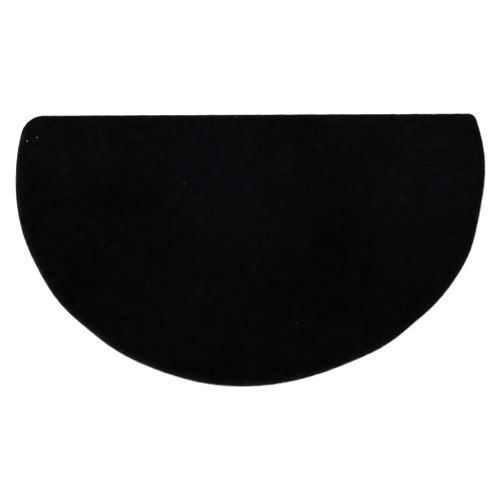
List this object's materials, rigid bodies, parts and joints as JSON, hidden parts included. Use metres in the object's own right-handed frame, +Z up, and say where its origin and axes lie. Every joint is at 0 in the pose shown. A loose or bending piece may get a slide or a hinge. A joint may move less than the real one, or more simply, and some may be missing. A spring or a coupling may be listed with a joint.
{
  "type": "half round doormat",
  "caption": "Plain dark half round doormat of short, dense cut pile, lying flat, with a straight back edge, rounded back corners and a gently uneven round front edge.",
  "frame": {"origin": "on the floor, under the middle of the mat's outline box", "axes": "+X along the straight back edge, to the right as seen from above with the back edge away; +Y from the round front edge towards the straight back edge; +Z up out of the pile"},
  "size_m": [0.6998, 0.4064, 0.0089],
  "materials": {
    "pile_cloth": "matt near-black cut pile"
  },
  "bodies": {
    "root": {"mat": "pile_cloth"}
  },
  "joints": []
}
